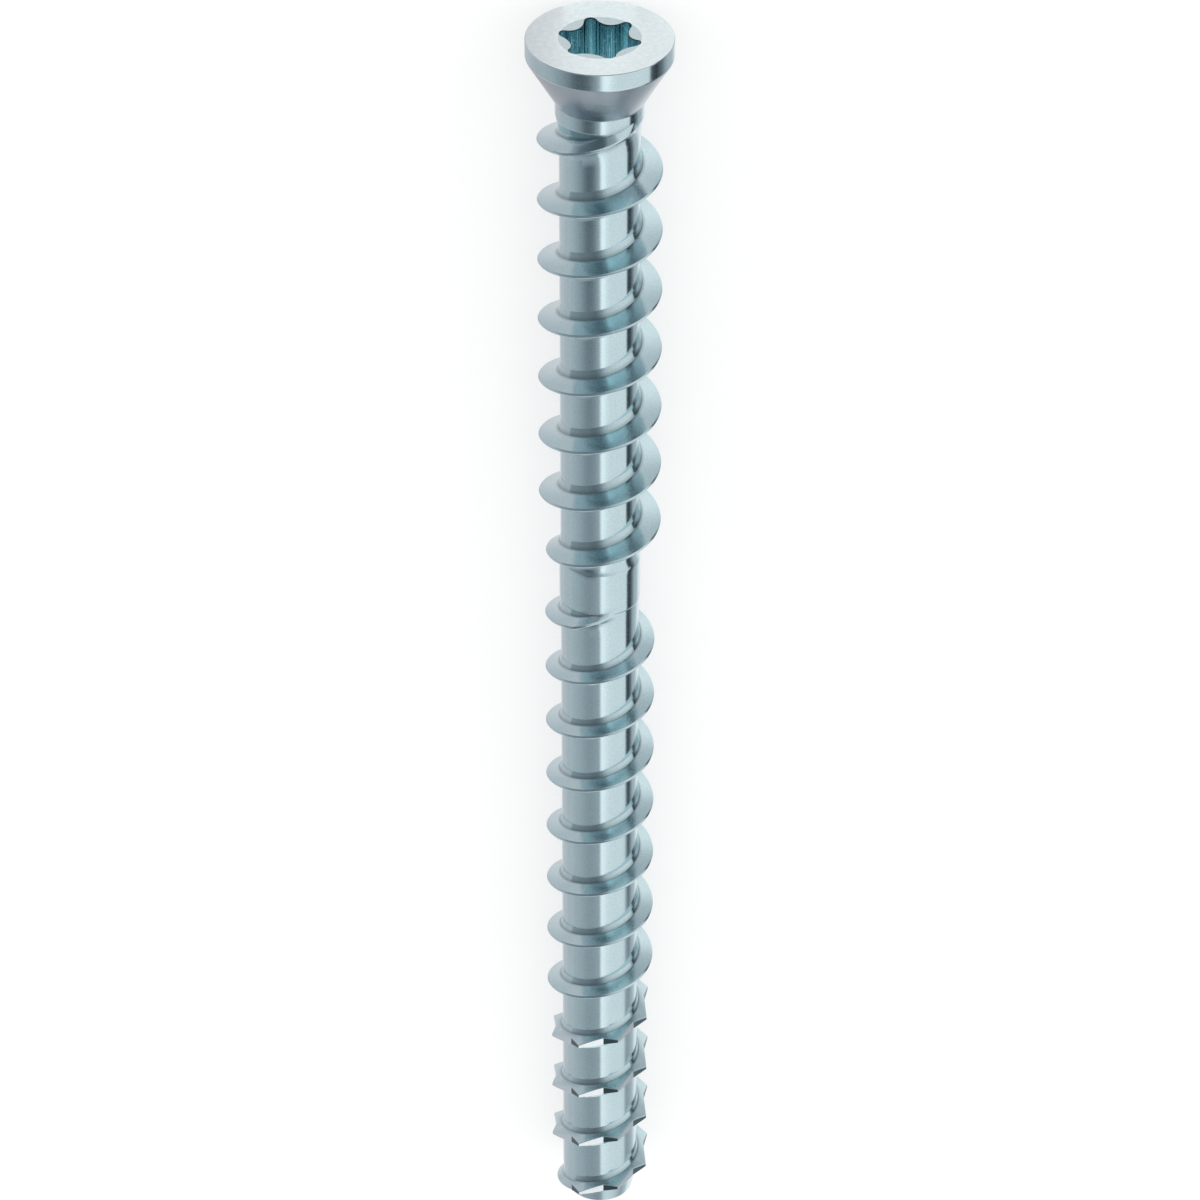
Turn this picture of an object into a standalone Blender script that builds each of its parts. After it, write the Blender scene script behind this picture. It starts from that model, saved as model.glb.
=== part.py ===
"""Concrete screw, one piece of cold-formed and thread-rolled steel.

The screw is built on its own axis: the flat of the head is at z = 0 and the tip is down
the -Z axis.  It is then laid on the ground the way it comes to rest: the rim of the head
and the crest of the front thread touch z = 0, and the head points to -X.

Angles round the axis are seen from the head and start at the side that faces up when the
screw lies down.  They grow counter-clockwise.  A right-hand thread climbs towards the
head as the angle grows.
"""

import math

import bmesh
import bpy
from mathutils import Matrix, Vector

MM = 0.001

# Lengths along the axis, measured down from the flat of the head
SCREW_LENGTH = 100.0 * MM
RIM_HEIGHT = 1.25 * MM
COLLAR_LENGTH = 1.05 * MM
COLLAR_TAPER_LENGTH = 1.15 * MM
LAND_START = 41.9 * MM
LAND_LENGTH = 3.32 * MM
TIP_TAPER_LENGTH = 1.7 * MM

# Diameters of the turned blank
HEAD_DIAMETER = 10.08 * MM
CORE_DIAMETER = 5.56 * MM
COLLAR_STEP = 0.26 * MM
LAND_STEP = 0.09 * MM
TIP_TAPER_DEPTH = 0.38 * MM
HEAD_CONE_ANGLE = math.radians(60.4)

# Both threads
PITCH = 4.77 * MM
CREST_FLAT = 0.18 * MM
FLANK_ANGLE = math.radians(17.0)
ROOT_EMBED = 0.3 * MM

# Rear thread, between the head and the plain land
REAR_THREAD_HEIGHT = 1.51 * MM
REAR_START_INSIDE_COLLAR = 0.45 * MM
REAR_START_ANGLE = math.radians(94.0)
REAR_RUN_IN = math.radians(130.0)
REAR_RUN_OUT = math.radians(150.0)
REAR_END_INSIDE_LAND = 0.55 * MM

# Front thread, between the land and the tip
FRONT_THREAD_HEIGHT = 1.12 * MM
FRONT_START_INSIDE_LAND = 0.15 * MM
FRONT_START_ANGLE = math.radians(38.0)
FRONT_RUN_IN = math.radians(68.0)

# Cutting teeth on the front thread
TOOTHED_LENGTH = 18.5 * MM
TOOTHLESS_TIP = 1.1 * MM
TEETH_PER_TURN = 8
NOTCH_DEPTH = 0.6 * MM
TOOTH_TIP_DROP = 0.08 * MM
NOTCH_PHASE = math.radians(-85.5)
TOOTH_FRONT_SHARE = 0.355
LAST_CREST_SHARE = 0.42
LAST_CREST_SHIFT = 0.2 * MM

# Six-lobe drive recess in the head
LOBE_TIP_DIAMETER = 5.54 * MM
LOBE_ROOT_DIAMETER = 3.96 * MM
LOBE_TIP_RADIUS = 0.45 * MM
LOBE_COUNT = 6
LOBE_PHASE = math.radians(-15.0)
RECESS_DEPTH = 3.2 * MM
COUNTERSINK_CLEARANCE = 0.03 * MM
COUNTERSINK_DEPTH = 0.2 * MM

# Facets
FACETS_PER_TURN = 32
LOBE_ARC_STEPS = 5
FRONT_FACE_STEPS = 2
REAR_FACE_STEPS = 3
HIDDEN_START_DEPTH = 0.1 * MM
CUT_OVERRUN = 1.0 * MM
MERGE_DISTANCE = 0.00001 * MM

# Values that follow from the sizes above
head_radius = HEAD_DIAMETER / 2
core_radius = CORE_DIAMETER / 2
collar_radius = core_radius + COLLAR_STEP
cone_length = (head_radius - collar_radius) / math.tan(HEAD_CONE_ANGLE / 2)
collar_top = RIM_HEIGHT + cone_length
collar_end = collar_top + COLLAR_LENGTH
land_end = LAND_START + LAND_LENGTH
facet_angle = 2 * math.pi / FACETS_PER_TURN
corner_reach = 1 / math.cos(facet_angle / 2)
flank_slope = math.tan(FLANK_ANGLE)
tooth_angle = 2 * math.pi / TEETH_PER_TURN
tooth_front_angle = TOOTH_FRONT_SHARE * tooth_angle


class Thread:
    """One rolled ridge: a trapezoid carried round the core, with its ends run out.

    travel is the angle turned since the start of the ridge, going down the screw.
    """

    def __init__(self, height, start_depth, start_angle, end_depth, run_in, run_out):
        self.height = height
        self.start_depth = start_depth
        self.start_angle = start_angle
        self.end_travel = (end_depth - start_depth) / PITCH * 2 * math.pi
        self.run_in = run_in
        self.run_out = run_out

    def angle(self, travel):
        return self.start_angle - travel

    def depth(self, travel):
        return self.start_depth + travel / (2 * math.pi) * PITCH

    def travel_at_depth(self, depth):
        return (depth - self.start_depth) / PITCH * 2 * math.pi

    def ridge_height(self, travel):
        """Height of the untrimmed ridge: rises over the run-in, falls over the run-out."""
        share = min(1.0, travel / self.run_in)
        if self.run_out:
            share = min(share, (self.end_travel - travel) / self.run_out)
        return (self.height + HIDDEN_START_DEPTH) * share - HIDDEN_START_DEPTH

    def trim(self, travel):
        """Depth cut off the crest by the notches.  A plain thread has none."""
        return 0.0

    def travels(self):
        """The angles at which the ridge has a section."""
        steps = math.ceil(self.end_travel / facet_angle)
        return [self.end_travel * i / steps for i in range(steps + 1)]

    def section(self, travel):
        """Four points (radius, depth) of the ridge, from the upper root to the lower one."""
        height = self.ridge_height(travel)
        cut = self.trim(travel)
        base_half = CREST_FLAT / 2 + (self.height + ROOT_EMBED) * flank_slope
        slope = (base_half - CREST_FLAT / 2) / (height + ROOT_EMBED)
        crest_half = CREST_FLAT / 2 + cut * slope
        base_radius = core_radius - ROOT_EMBED
        crest_radius = core_radius + height - cut
        depth = self.depth(travel)
        return [
            (base_radius, depth - base_half),
            (crest_radius, depth - crest_half),
            (crest_radius, depth + crest_half),
            (base_radius, depth + base_half),
        ]


class ToothedThread(Thread):
    """A ridge whose last turns are notched into cutting teeth.

    Each tooth has a short steep face on the side that leads into the hole and a long face
    behind.  Both faces are flat and run parallel to the axis of the screw.
    """

    def __init__(self, *sizes):
        super().__init__(*sizes)
        first = self.travel_at_depth(SCREW_LENGTH - TOOTHED_LENGTH)
        last = self.travel_at_depth(SCREW_LENGTH - TOOTHLESS_TIP)
        self.first_notch = self.notch_after(first)
        self.first_tip = self.first_notch - tooth_front_angle
        self.last_notch = self.notch_after(last) - tooth_angle

    def notch_after(self, travel):
        """Travel of the first notch bottom at or after the given travel."""
        phase = (self.start_angle - NOTCH_PHASE) % tooth_angle
        return phase + math.ceil((travel - phase) / tooth_angle) * tooth_angle

    def depth(self, travel):
        """The crest runs a little nearer the tip once the teeth have ended."""
        depth = super().depth(travel)
        return depth + LAST_CREST_SHIFT if travel > self.last_notch else depth

    def ridge_height(self, travel):
        height = super().ridge_height(travel)
        return height * LAST_CREST_SHARE if travel > self.last_notch else height

    def trim(self, travel):
        """Cut down to the straight lines between notch bottoms and tooth tips."""
        if travel < self.first_tip or travel > self.last_notch:
            return 0.0
        crest = core_radius + self.height
        bottom = crest - NOTCH_DEPTH
        tip = crest - TOOTH_TIP_DROP
        turned = (travel - self.first_tip) % tooth_angle
        if turned <= tooth_front_angle:
            return crest - chord_radius(turned, tooth_front_angle, tip, bottom)
        rear_angle = tooth_angle - tooth_front_angle
        return crest - chord_radius(turned - tooth_front_angle, rear_angle, bottom, tip)

    def travels(self):
        """Plain sections, then sections at each tip, each notch and between, then plain ones."""
        steps = math.ceil(self.first_tip / facet_angle)
        result = spaced(0.0, self.first_tip, steps)
        teeth = round((self.last_notch - self.first_notch) / tooth_angle)
        for tooth in range(teeth + 1):
            tip = self.first_tip + tooth * tooth_angle
            notch = tip + tooth_front_angle
            result += spaced(tip, notch, FRONT_FACE_STEPS)
            if tooth < teeth:
                result += spaced(notch, tip + tooth_angle, REAR_FACE_STEPS)
        result.append(self.last_notch)
        start = self.last_notch + facet_angle / 4
        steps = math.ceil((self.end_travel - start) / facet_angle)
        return result + spaced(start, self.end_travel, steps) + [self.end_travel]


def spaced(start, end, steps):
    """Evenly spaced values from start up to, but without, end."""
    return [start + (end - start) * i / steps for i in range(steps)]


def chord_radius(angle, span, start_radius, end_radius):
    """Radius at an angle of the straight line that joins two radii a span apart."""
    first = Vector((start_radius, 0.0))
    last = Vector((end_radius * math.cos(span), end_radius * math.sin(span)))
    run = last - first
    ray = Vector((math.cos(angle), math.sin(angle)))
    return first.cross(run) / ray.cross(run)


def screw_point(angle, radius, depth):
    """A point on the screw, from its angle, its radius and its depth below the head."""
    return Vector((radius * math.sin(angle), -radius * math.cos(angle), -depth))


def clear_scene():
    for item in list(bpy.data.objects):
        bpy.data.objects.remove(item, do_unlink=True)
    for group in list(bpy.data.collections):
        bpy.data.collections.remove(group)


def new_collection(name):
    group = bpy.data.collections.new(name)
    bpy.context.scene.collection.children.link(group)
    return group


def zinc_plate():
    """Bright zinc with a light blue passivation, as on the photographed screw."""
    material = bpy.data.materials.new("zinc_plated_steel")
    material.use_nodes = True
    shader = material.node_tree.nodes["Principled BSDF"]
    shader.inputs["Base Color"].default_value = (0.62, 0.68, 0.71, 1.0)
    shader.inputs["Metallic"].default_value = 1.0
    shader.inputs["Roughness"].default_value = 0.28
    return material


def add_object(name, mesh, group, parent):
    item = bpy.data.objects.new(name, mesh)
    group.objects.link(item)
    item.parent = parent
    return item


def add_cutter(name, mesh, group, parent):
    item = add_object(name, mesh, group, parent)
    item.hide_render = True
    item.display_type = "WIRE"
    return item


def blank_profile():
    """Radius and depth along the blank before the threads are rolled, from head to tip."""
    return [
        (0.0, 0.0),
        (head_radius, 0.0),
        (head_radius, RIM_HEIGHT),
        (collar_radius, collar_top),
        (collar_radius, collar_end),
        (core_radius, collar_end + COLLAR_TAPER_LENGTH),
        (core_radius, LAND_START - LAND_STEP),
        (core_radius + LAND_STEP, LAND_START),
        (core_radius + LAND_STEP, land_end),
        (core_radius, land_end + LAND_STEP),
        (core_radius, SCREW_LENGTH - TIP_TAPER_LENGTH),
        (core_radius - TIP_TAPER_DEPTH, SCREW_LENGTH),
    ]


def surface_points():
    """Corners of the faceted blank and of both ridges, on the screw's own axis."""
    points = []
    for radius, depth in blank_profile():
        for i in range(FACETS_PER_TURN):
            points.append(screw_point((i + 0.5) * facet_angle, radius * corner_reach, depth))
    for thread in (rear_thread, front_thread):
        for travel in thread.travels():
            for radius, depth in thread.section(travel):
                if depth <= SCREW_LENGTH:
                    points.append(screw_point(thread.angle(travel), radius, depth))
    return points


def lie_down(name):
    """An empty on the screw's axis, turned and placed the way the screw comes to rest.

    The screw leans on the lower edge of the head's rim and on the one thread crest that
    the ground meets first.  The middle of its outline is above the origin.
    """
    on_its_side = Matrix.Rotation(-math.pi / 2, 3, "X") @ Matrix.Rotation(-math.pi / 2, 3, "Y")
    points = [on_its_side @ point for point in surface_points()]
    beyond_rim = [point for point in points if point.x > RIM_HEIGHT + LAND_STEP]
    tilt = min(math.atan2(point.z + head_radius, point.x - RIM_HEIGHT) for point in beyond_rim)
    lean = Matrix.Rotation(tilt, 3, "Y")
    points = [lean @ point for point in points]
    middle = (min(point.x for point in points) + max(point.x for point in points)) / 2
    lowest = min(point.z for point in points)

    empty = bpy.data.objects.new(name, None)
    bpy.context.scene.collection.objects.link(empty)
    placed = Matrix.Translation((-middle, 0.0, -lowest))
    empty.matrix_world = placed @ (lean @ on_its_side).to_4x4()
    return empty


def turned_blank(group, parent):
    """The blank: its profile turned round the axis, over-long at the tip.

    The facets touch the true circle with their middles, and one of them faces down.
    """
    end_slope = TIP_TAPER_DEPTH / TIP_TAPER_LENGTH
    over_length = SCREW_LENGTH + CUT_OVERRUN
    profile = blank_profile()[:-1] + [
        (core_radius - TIP_TAPER_DEPTH - CUT_OVERRUN * end_slope, over_length),
        (0.0, over_length),
    ]
    turn = Matrix.Rotation(facet_angle / 2, 3, "Z")
    points = [turn @ Vector((radius * corner_reach, 0.0, -depth)) for radius, depth in profile]
    edges = [(i, i + 1) for i in range(len(points) - 1)]
    mesh = bpy.data.meshes.new("concrete_screw")
    mesh.from_pydata(points, edges, [])
    blank = add_object("concrete_screw", mesh, group, parent)

    spin = blank.modifiers.new("turned", "SCREW")
    spin.axis = "Z"
    spin.angle = 2 * math.pi
    spin.steps = FACETS_PER_TURN
    spin.render_steps = FACETS_PER_TURN
    spin.use_merge_vertices = True
    spin.merge_threshold = MERGE_DISTANCE
    spin.use_smooth_shade = False
    return blank


def ridge_mesh(name, thread):
    """Loft the sections of a thread into one closed ridge of triangles."""
    shape = bmesh.new()
    rings = []
    for travel in thread.travels():
        angle = thread.angle(travel)
        points = [screw_point(angle, radius, depth) for radius, depth in thread.section(travel)]
        rings.append([shape.verts.new(point) for point in points])
    corners = len(rings[0])
    for ring, following in zip(rings, rings[1:]):
        for i in range(corners):
            j = (i + 1) % corners
            shape.faces.new((ring[i], ring[j], following[j]))
            shape.faces.new((ring[i], following[j], following[i]))
    shape.faces.new(rings[0])
    shape.faces.new(rings[-1])
    bmesh.ops.recalc_face_normals(shape, faces=shape.faces)
    mesh = bpy.data.meshes.new(name)
    shape.to_mesh(mesh)
    shape.free()
    return mesh


def lobe_outline():
    """Points of the six-lobe outline: a small arc at each lobe, a wide one between lobes.

    The arcs touch each other, so the radius of the wide arc follows from the two
    diameters and the radius of the small one.
    """
    tip_centre = LOBE_TIP_DIAMETER / 2 - LOBE_TIP_RADIUS
    root = LOBE_ROOT_DIAMETER / 2
    half = math.pi / LOBE_COUNT
    spread = tip_centre ** 2 + root ** 2 - 2 * tip_centre * root * math.cos(half)
    reach = 2 * (LOBE_TIP_RADIUS + tip_centre * math.cos(half) - root)
    root_radius = (spread - LOBE_TIP_RADIUS ** 2) / reach
    small = Vector((tip_centre, 0.0))
    wide = Vector(((root + root_radius) * math.cos(half), (root + root_radius) * math.sin(half)))
    touch = (wide - small).normalized()
    small_sweep = math.atan2(touch.y, touch.x)
    wide_sweep = math.pi - (small_sweep - half)

    points = []
    for lobe in range(LOBE_COUNT):
        turn = Matrix.Rotation(LOBE_PHASE + lobe * 2 * half, 2)
        for i in range(-LOBE_ARC_STEPS, LOBE_ARC_STEPS + 1):
            angle = small_sweep * i / LOBE_ARC_STEPS
            reach_out = Vector((math.cos(angle), math.sin(angle))) * LOBE_TIP_RADIUS
            points.append(turn @ (small + reach_out))
        arc = math.pi - wide_sweep
        for i in range(1, 2 * LOBE_ARC_STEPS):
            angle = math.pi + half + arc - 2 * arc * i / (2 * LOBE_ARC_STEPS)
            reach_in = Vector((math.cos(angle), math.sin(angle))) * root_radius
            points.append(turn @ (wide + reach_in))
    return points


def recess_cutter(group, parent):
    """The six-lobe punch, a flat outline given its depth."""
    outline = bpy.data.curves.new("recess_outline", "CURVE")
    outline.dimensions = "2D"
    outline.fill_mode = "BOTH"
    outline.extrude = (RECESS_DEPTH + CUT_OVERRUN) / 2
    spline = outline.splines.new("POLY")
    points = lobe_outline()
    spline.points.add(len(points) - 1)
    for point, place in zip(spline.points, points):
        point.co = (place.x, place.y, 0.0, 1.0)
    spline.use_cyclic_u = True

    flat = bpy.data.objects.new("recess_outline", outline)
    group.objects.link(flat)
    flat.location.z = (CUT_OVERRUN - RECESS_DEPTH) / 2
    bpy.context.view_layer.update()
    evaluated = flat.evaluated_get(bpy.context.evaluated_depsgraph_get())
    mesh = bpy.data.meshes.new_from_object(evaluated)
    shape = bmesh.new()
    shape.from_mesh(mesh)
    bmesh.ops.remove_doubles(shape, verts=shape.verts, dist=MERGE_DISTANCE)
    bmesh.ops.recalc_face_normals(shape, faces=shape.faces)
    shape.transform(flat.matrix_world)
    shape.to_mesh(mesh)
    shape.free()
    bpy.data.objects.remove(flat, do_unlink=True)
    bpy.data.curves.remove(outline)
    return add_cutter("recess_cutter", mesh, group, parent)


def countersink_cutter(group, parent):
    """The shallow cone that leads the driver bit into the recess."""
    top_radius = LOBE_TIP_DIAMETER / 2 + COUNTERSINK_CLEARANCE
    root = LOBE_ROOT_DIAMETER / 2
    slope = (top_radius - root) / COUNTERSINK_DEPTH
    above = COUNTERSINK_DEPTH
    below = (top_radius - root / 2) / slope
    shape = bmesh.new()
    bmesh.ops.create_cone(
        shape,
        cap_ends=True,
        segments=FACETS_PER_TURN,
        radius1=root / 2,
        radius2=top_radius + slope * above,
        depth=above + below,
    )
    bmesh.ops.translate(shape, verts=shape.verts, vec=(0.0, 0.0, (above - below) / 2))
    mesh = bpy.data.meshes.new("countersink_cutter")
    shape.to_mesh(mesh)
    shape.free()
    return add_cutter("countersink_cutter", mesh, group, parent)


def end_cutter(group, parent):
    """Cuts the blank and the last turn off square at the full length."""
    radius = core_radius + FRONT_THREAD_HEIGHT + PITCH
    depth = 2 * PITCH
    shape = bmesh.new()
    bmesh.ops.create_cone(
        shape, cap_ends=True, segments=FACETS_PER_TURN, radius1=radius, radius2=radius, depth=depth
    )
    bmesh.ops.translate(shape, verts=shape.verts, vec=(0.0, 0.0, -SCREW_LENGTH - depth / 2))
    mesh = bpy.data.meshes.new("end_cutter")
    shape.to_mesh(mesh)
    shape.free()
    return add_cutter("end_cutter", mesh, group, parent)


def add_boolean(item, name, operation, operand):
    change = item.modifiers.new(name, "BOOLEAN")
    change.operation = operation
    change.solver = "EXACT"
    change.object = operand


def build():
    clear_scene()
    parts = new_collection("concrete_screw_parts")
    cutters = new_collection("cutters")
    axis = lie_down("screw_axis")

    screw = turned_blank(parts, axis)
    screw.data.materials.append(zinc_plate())
    rear_ridge = add_cutter("rear_thread", ridge_mesh("rear_thread", rear_thread), cutters, axis)
    front_ridge = add_cutter("front_thread", ridge_mesh("front_thread", front_thread), cutters, axis)

    add_boolean(screw, "drive_recess", "DIFFERENCE", recess_cutter(cutters, axis))
    add_boolean(screw, "countersink", "DIFFERENCE", countersink_cutter(cutters, axis))
    add_boolean(screw, "rear_thread", "UNION", rear_ridge)
    add_boolean(screw, "front_thread", "UNION", front_ridge)
    add_boolean(screw, "square_end", "DIFFERENCE", end_cutter(cutters, axis))


rear_thread = Thread(
    REAR_THREAD_HEIGHT,
    collar_end - REAR_START_INSIDE_COLLAR,
    REAR_START_ANGLE,
    LAND_START + REAR_END_INSIDE_LAND,
    REAR_RUN_IN,
    REAR_RUN_OUT,
)
front_thread = ToothedThread(
    FRONT_THREAD_HEIGHT,
    land_end - FRONT_START_INSIDE_LAND,
    FRONT_START_ANGLE,
    SCREW_LENGTH + PITCH / 2,
    FRONT_RUN_IN,
    0.0,
)
build()
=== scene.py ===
import math

import bpy
import numpy as np
from mathutils import Matrix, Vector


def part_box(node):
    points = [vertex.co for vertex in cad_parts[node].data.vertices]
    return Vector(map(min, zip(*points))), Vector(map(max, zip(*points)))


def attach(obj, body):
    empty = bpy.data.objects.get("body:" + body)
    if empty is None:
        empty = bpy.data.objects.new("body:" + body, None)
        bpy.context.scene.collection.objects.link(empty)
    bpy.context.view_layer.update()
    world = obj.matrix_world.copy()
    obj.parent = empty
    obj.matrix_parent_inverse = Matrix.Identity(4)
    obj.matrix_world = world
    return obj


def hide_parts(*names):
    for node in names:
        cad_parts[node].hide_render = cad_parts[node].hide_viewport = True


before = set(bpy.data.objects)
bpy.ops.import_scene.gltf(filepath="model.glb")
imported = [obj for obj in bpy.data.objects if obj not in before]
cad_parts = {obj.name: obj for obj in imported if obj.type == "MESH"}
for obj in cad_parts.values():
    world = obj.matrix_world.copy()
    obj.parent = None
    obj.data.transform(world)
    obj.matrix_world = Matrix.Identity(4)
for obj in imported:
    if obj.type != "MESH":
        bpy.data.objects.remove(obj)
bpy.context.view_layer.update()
print("frame loaded:", ", ".join(sorted(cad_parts)))

mm = 0.001
slack = 1e-6  # for comparing depths and angles that are worked out in different ways
nudge = 1e-7  # moves a column on a notch bottom onto the face after it

# the blank, before its threads are rolled
blank = {
    "length": 100.0,
    "headDiameter": 10.08,
    "rimHeight": 1.25,
    "coneAngle": 60.4,
    "collarLength": 1.05,
    "collarStep": 0.26,
    "collarTaper": 1.15,
    "coreDiameter": 5.56,
    "landStart": 41.9,
    "landLength": 3.32,
    "landStep": 0.09,
    "landRamp": 0.7,
    "tipTaper": 1.7,
    "tipTaperDepth": 0.38,
    "brokenEdge": 0.045,
    "lean": 0.81596,  # from level, on the head's rim and the front thread
}

pitch = 4.77  # of both threads

rearThread = {
    "height": 1.51,
    "startDepth": 5.3105,
    "startAngle": 94.0,
    "endDepth": 42.45,
    "runIn": 130.0,
    "runInPower": 1.5,
    "runOut": 150.0,
    "crestHalf": 0.09,
    "footHalf": 0.54,
    "footRise": 0.15,
    "filletHalf": 1.14,
    "filletPower": 1.1,
}

frontThread = {
    "height": 1.12,
    "startDepth": 45.07,
    "startAngle": 38.0,
    "endDepth": 105.0,
    "runIn": 68.0,
    "runInPower": 2.0,
    "runOut": 0.0,
    "crestHalf": 0.09,
    "footHalf": 0.43,
    "footRise": 0.15,
    "filletHalf": 0.87,
    "filletPower": 1.05,
}

teeth = {
    "toothedLength": 18.5,
    "plainTip": 1.1,
    "perTurn": 8,
    "phase": -85.5,
    "frontAngle": 16.0,
    "notchDepth": 0.6,
    "tipDrop": 0.08,
    "lastCrestShare": 0.42,
    "lastCrestShift": 0.2,
}

# both threads' crests: half the width of their broken edges, and how far their sides lie
# below their middle
crestForm = {
    "edge": 0.02,
    "crown": 0.08,
}

headRadius = blank["headDiameter"] / 2
coreRadius = blank["coreDiameter"] / 2
collarRadius = coreRadius + blank["collarStep"]
landRadius = coreRadius + blank["landStep"]
coneEnd = blank["rimHeight"] + (headRadius - collarRadius) / math.tan(math.radians(blank["coneAngle"] / 2))
collarEnd = coneEnd + blank["collarLength"]
landEnd = blank["landStart"] + blank["landLength"]
toothAngle = 360.0 / teeth["perTurn"]


def brokenCorners(points, size):
    # Each inner corner of the line is swapped for two points, size away from it along
    # the line before it and the line after it.
    points = np.asarray(points, float)
    step = np.diff(points, axis=0)
    step /= np.linalg.norm(step, axis=1)[:, None]
    before = points[1:-1] - step[:-1] * size
    after = points[1:-1] + step[1:] * size
    inner = np.stack([before, after], axis=1).reshape(-1, 2)
    return np.vstack([points[:1], inner, points[-1:]])


# the hollow ramp up to the land: its height grows with the square of the way along it
rampShare = np.array([0.0, 0.35, 0.7, 1.0])
rampLine = np.stack([
    blank["landStart"] - blank["landRamp"] * (1.0 - rampShare),
    coreRadius + blank["landStep"] * rampShare**2,
], axis=1)

# depth and radius down the side of the blank, with the turned corners broken
sideLine = brokenCorners(
    [
        (0.0, 0.0),
        (0.0, headRadius),
        (blank["rimHeight"], headRadius),
        (coneEnd, collarRadius),
        (collarEnd, collarRadius),
        (collarEnd + blank["collarTaper"], coreRadius),
        *rampLine,
        (landEnd, landRadius),
        (landEnd + blank["landStep"], coreRadius),
        (blank["length"] - blank["tipTaper"], coreRadius),
        (blank["length"], coreRadius - blank["tipTaperDepth"]),
    ],
    blank["brokenEdge"],
)


def blankRadius(depth):
    # Radius of the blank: straight lines between the points of its side line.
    return np.interp(depth, sideLine[:, 0], sideLine[:, 1])


def travelAtDepth(thread, depth):
    # Degrees turned since the thread's start: 360 for each pitch gone down.
    return (depth - thread["startDepth"]) / pitch * 360.0


def notchAtOrAfter(travel):
    # Travel of the next notch bottom: the phase plus whole tooth angles.
    phase = (frontThread["startAngle"] - teeth["phase"]) % toothAngle
    return phase + math.ceil((travel - phase) / toothAngle) * toothAngle


toothedFrom = travelAtDepth(frontThread, blank["length"] - teeth["toothedLength"])
toothedTo = travelAtDepth(frontThread, blank["length"] - teeth["plainTip"])
firstTip = notchAtOrAfter(toothedFrom) - teeth["frontAngle"]
lastNotch = notchAtOrAfter(toothedTo) - toothAngle


def crestDepth(thread, travel):
    # A straight helix: the start depth plus one pitch a turn. Past the last notch the
    # front crest runs a little nearer the tip.
    depth = thread["startDepth"] + pitch * travel / 360.0
    if thread is frontThread:
        depth = depth + teeth["lastCrestShift"] * (travel > lastNotch + slack)
    return depth


def crestRise(thread, travel):
    # Height of the uncut crest over the core: a power of the way along the run-in, a
    # straight ramp down the run-out, full between them, and nothing off the ends.
    share = np.clip(travel / thread["runIn"], 0.0, 1.0) ** thread["runInPower"]
    if thread["runOut"]:
        left = travelAtDepth(thread, thread["endDepth"]) - travel
        share = np.minimum(share, left / thread["runOut"])
    rise = thread["height"] * np.clip(share, 0.0, 1.0)
    if thread is frontThread:
        rise = rise * np.where(travel > lastNotch + slack, teeth["lastCrestShare"], 1.0)
    return rise


def straightRadius(angle, span, startRadius, endRadius):
    # Radius, in polar terms, of the straight line between two radii a span apart.
    a = np.radians(angle)
    s = math.radians(span)
    return startRadius * endRadius * math.sin(s) / (startRadius * np.sin(a) + endRadius * np.sin(s - a))


def crestCut(thread, travel, angle):
    # Depth taken off the crest: the crest less the flat faces between notch bottoms and
    # tooth tips. Nothing outside the toothed turns.
    if thread is rearThread:
        return np.zeros(np.broadcast(travel, angle).shape)
    crest = coreRadius + thread["height"]
    bottom = crest - teeth["notchDepth"]
    tip = crest - teeth["tipDrop"]
    along = np.mod(angle - teeth["phase"] + nudge, toothAngle) - nudge
    lead = straightRadius(along, teeth["frontAngle"], bottom, tip)
    rearSpan = toothAngle - teeth["frontAngle"]
    trail = straightRadius(along - teeth["frontAngle"], rearSpan, tip, bottom)
    face = np.where(along < teeth["frontAngle"], lead, trail)
    toothed = (travel > firstTip - slack) & (travel < lastNotch + slack)
    return np.where(toothed, crest - face, 0.0)


def nearestTurn(thread, angle, depth):
    # The turn of a thread nearest to a point: its travel there, how far the point is from
    # its crest along the screw, and the crest's rise.
    first = np.mod(thread["startAngle"] - angle, 360.0)
    turn = np.round((depth - thread["startDepth"]) / pitch - first / 360.0)
    travel = first + 360.0 * turn
    away = np.abs(depth - crestDepth(thread, travel))
    rise = np.where(travel >= 0.0, crestRise(thread, travel), 0.0)
    return travel, away, rise


# how the finish changes over a thread: flanks are satin, crests polished and paler, partly as a painted
# highlight, and roots darker with painted shade
threadFinish = {
    "flankSatin": 0.35,
    "satinFrom": 0.6,
    "crestWearAndSheen": 0.1,
    "crestWearAndSheenGain": 3.0,
    "rootShadeOnFlank": 0.15,
    "rootShadeMidFillet": 0.1,
    "rootShadeGain": 2.0,
}


def paintedRootShade(angle, depth):
    # How much painted shade darkens the colour: fully on the foot of a ridge, less along its fillet, and
    # less where the ridge is still low.
    shade = 0.0
    for thread in (rearThread, frontThread):
        _, away, rise = nearestTurn(thread, angle, depth)
        foot, fillet = thread["footHalf"], thread["filletHalf"]
        start = foot - threadFinish["rootShadeOnFlank"] * (foot - thread["crestHalf"])
        spots = [start, foot, (foot + fillet) / 2, fillet]
        near = np.interp(away, spots, [0.0, 1.0, threadFinish["rootShadeMidFillet"], 0.0])
        grown = np.minimum(threadFinish["rootShadeGain"] * rise / thread["height"], 1.0)
        shade = np.maximum(shade, near * grown)
    return shade


def flankMatt(thread, radius, depth):
    # How matt the side is: nothing on the blank and a fillet's lower part, and from there
    # in step with the height over the blank, up to the flank's own satin.
    height = (radius - blankRadius(depth)) / thread["footRise"]
    return threadFinish["flankSatin"] * np.clip(height - threadFinish["satinFrom"], 0.0, 1.0)


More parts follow.
